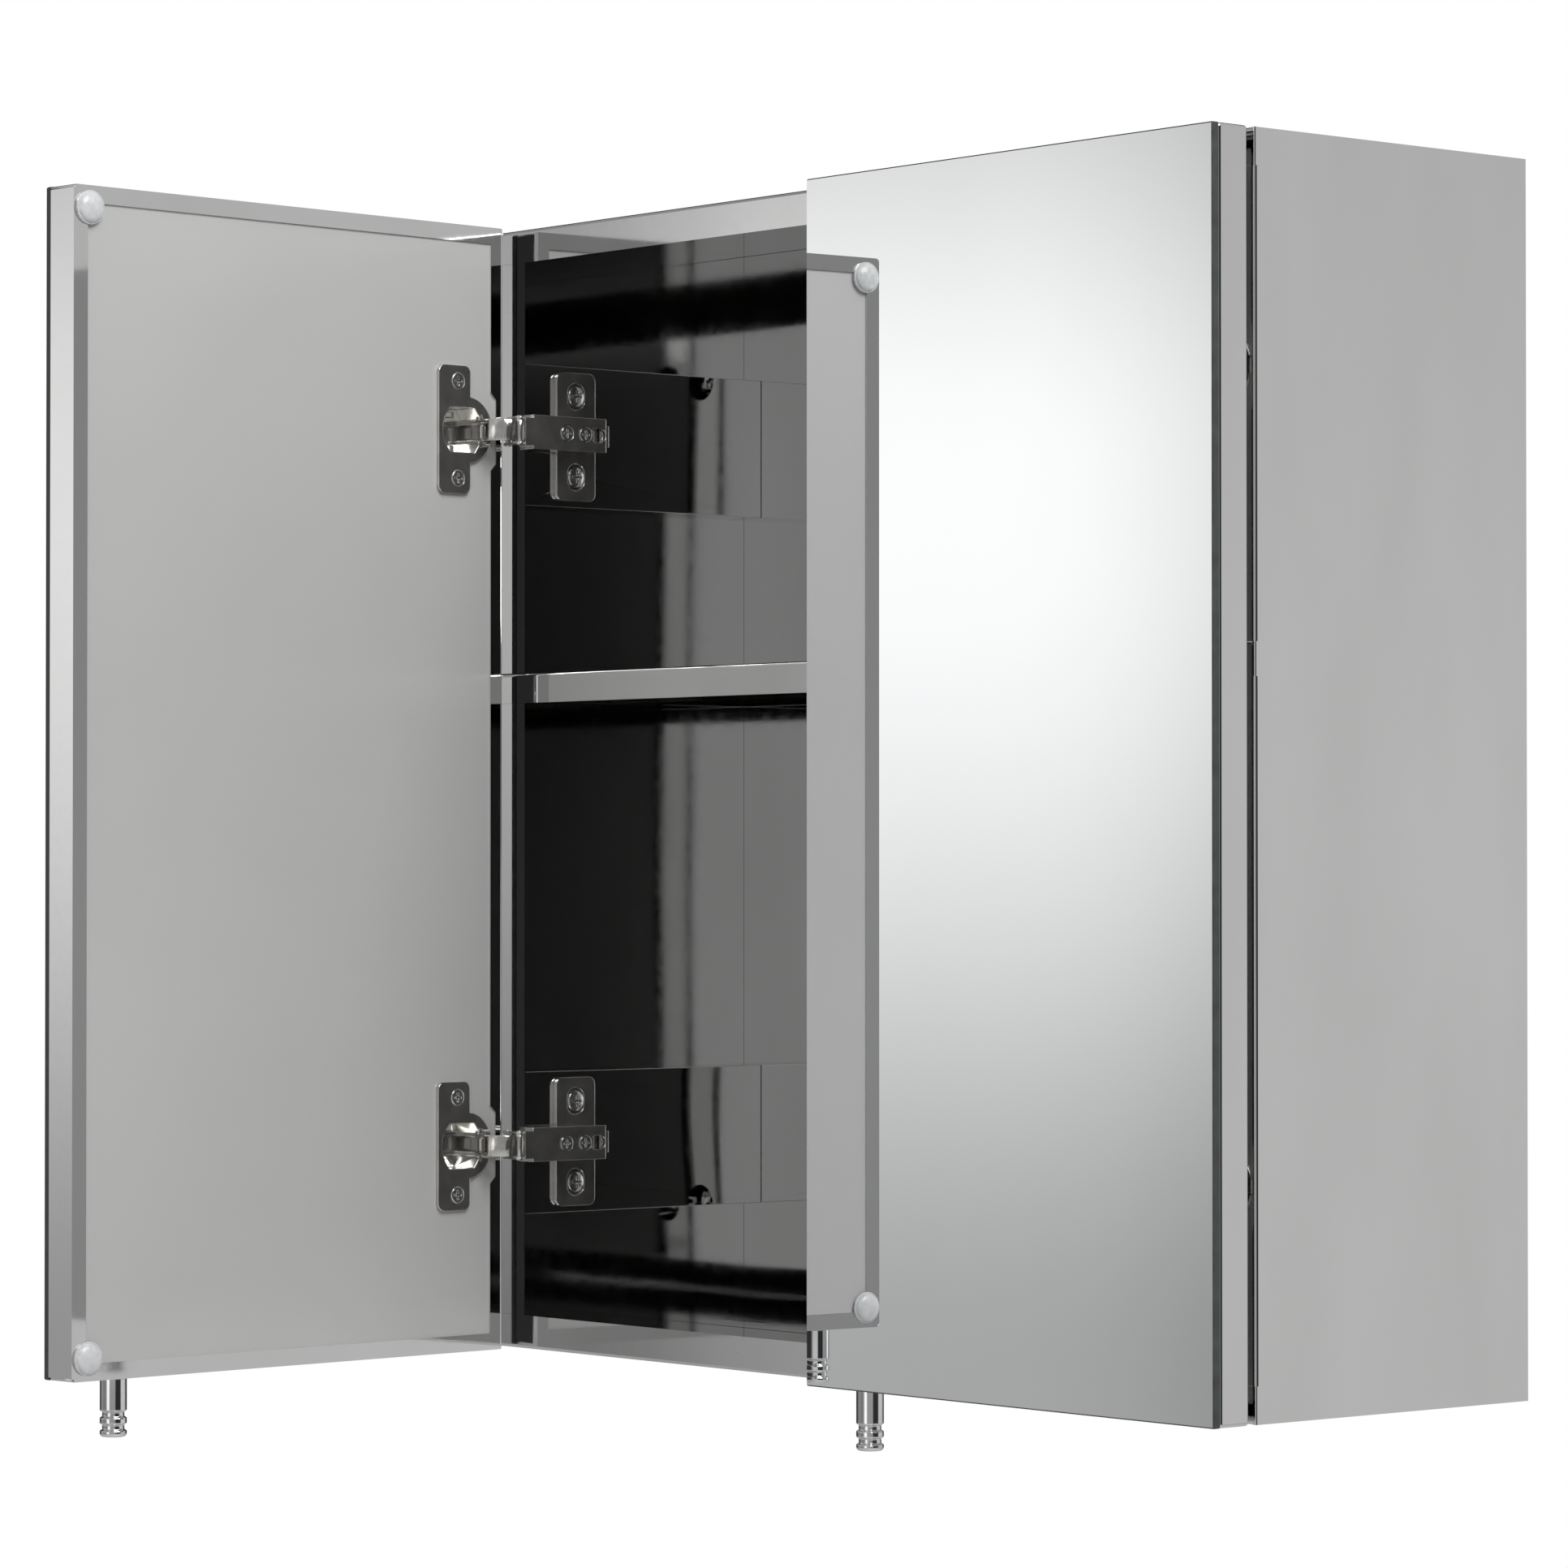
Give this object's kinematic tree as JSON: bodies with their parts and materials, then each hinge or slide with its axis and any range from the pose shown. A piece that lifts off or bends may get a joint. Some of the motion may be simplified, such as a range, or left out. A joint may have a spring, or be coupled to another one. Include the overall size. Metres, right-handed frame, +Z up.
{
  "type": "medicine cabinet with mirror doors",
  "caption": "Wall-hung steel cabinet with mirror doors on cranked link hinges, a fixed shelf, and small pull knobs under the doors.",
  "frame": {"origin": "centre of the four wall screws, on the wall plane", "axes": "+Z up, +Y into the wall, +X to the right for someone who faces the doors"},
  "size_m": [0.4255, 0.355, 0.462],
  "materials": {
    "polished_steel": "mirror-polished stainless steel sheet",
    "satin_steel": "satin stainless steel sheet",
    "hinge_nickel": "nickel-plated pressed steel",
    "screw_steel": "zinc-plated steel",
    "knob_chrome": "polished chrome",
    "mirror_glass": "silvered float glass",
    "bumper_plastic": "clear soft plastic",
    "core_board": "raw fibreboard"
  },
  "bodies": {
    "cabinet": {"left_side_panel": "polished_steel", "right_side_panel": "polished_steel", "top_panel": "polished_steel", "bottom_panel": "polished_steel", "back_panel": "polished_steel", "shelf": "polished_steel", "left_upper_channel": "polished_steel", "left_lower_channel": "polished_steel", "right_upper_channel": "polished_steel", "right_lower_channel": "polished_steel", "left_upper_plate": "hinge_nickel", "left_lower_plate": "hinge_nickel", "right_upper_plate": "hinge_nickel", "right_lower_plate": "hinge_nickel", "left_upper_arm": "hinge_nickel", "left_lower_arm": "hinge_nickel", "right_upper_arm": "hinge_nickel", "right_lower_arm": "hinge_nickel", "plate_screws": "screw_steel", "side_adjusting_screws": "screw_steel", "depth_adjusting_screws": "screw_steel", "arm_pins": "screw_steel"},
    "left_outer_links": {"left_upper_outer_link": "hinge_nickel", "left_lower_outer_link": "hinge_nickel"},
    "left_inner_links": {"left_upper_inner_link": "hinge_nickel", "left_lower_inner_link": "hinge_nickel"},
    "left_door": {"left_upper_cup": "hinge_nickel", "left_lower_cup": "hinge_nickel", "left_cup_screws": "screw_steel", "left_cup_pins": "screw_steel", "left_link_eyes": "hinge_nickel", "left_cup_springs": "screw_steel", "left_mirror_glass": "mirror_glass", "left_door_shell": "polished_steel", "left_back_sheet": "satin_steel", "left_core_board": "core_board", "left_bumpers": "bumper_plastic", "left_knob": "knob_chrome", "left_knob_screw": "screw_steel"},
    "right_outer_links": {"right_upper_outer_link": "hinge_nickel", "right_lower_outer_link": "hinge_nickel"},
    "right_inner_links": {"right_upper_inner_link": "hinge_nickel", "right_lower_inner_link": "hinge_nickel"},
    "right_door": {"right_upper_cup": "hinge_nickel", "right_lower_cup": "hinge_nickel", "right_cup_screws": "screw_steel", "right_cup_pins": "screw_steel", "right_link_eyes": "hinge_nickel", "right_cup_springs": "screw_steel", "right_mirror_glass": "mirror_glass", "right_door_shell": "polished_steel", "right_back_sheet": "satin_steel", "right_core_board": "core_board", "right_bumpers": "bumper_plastic", "right_knob": "knob_chrome", "right_knob_screw": "screw_steel"}
  },
  "joints": [
    {"name": "left_outer_link_pivot", "type": "hinge", "parent": "cabinet", "child": "left_outer_links", "pos_m": [-0.1836, -0.1466, 0], "axis": [0, 0, 1], "range_deg": [-57.01, 5.31]},
    {"name": "left_inner_link_pivot", "type": "hinge", "parent": "cabinet", "child": "left_inner_links", "pos_m": [-0.1928, -0.1452, 0], "axis": [0, 0, 1], "range_deg": [-68.51, 6.38]},
    {"name": "left_door_pivot", "type": "hinge", "parent": "left_outer_links", "child": "left_door", "pos_m": [-0.19713, -0.15605, 0], "axis": [0, 0, 1], "range_deg": [-13.3, 143]},
    {"name": "right_outer_link_pivot", "type": "hinge", "parent": "cabinet", "child": "right_outer_links", "pos_m": [0.1836, -0.1466, 0], "axis": [0, 0, 1], "range_deg": [-62.31, 0]},
    {"name": "right_inner_link_pivot", "type": "hinge", "parent": "cabinet", "child": "right_inner_links", "pos_m": [0.1928, -0.1452, 0], "axis": [0, 0, 1], "range_deg": [-74.88, 0]},
    {"name": "right_door_pivot", "type": "hinge", "parent": "right_outer_links", "child": "right_door", "pos_m": [0.1989, -0.1404, 0], "axis": [0, 0, 1], "range_deg": [0, 156.3]}
  ],
  "couplings": [
    {"joint": "left_outer_link_pivot", "follows": "left_door_pivot", "ratio": -0.3986},
    {"joint": "left_inner_link_pivot", "follows": "left_door_pivot", "ratio": -0.47902},
    {"joint": "right_outer_link_pivot", "follows": "right_door_pivot", "ratio": -0.3986},
    {"joint": "right_inner_link_pivot", "follows": "right_door_pivot", "ratio": -0.47902}
  ]
}
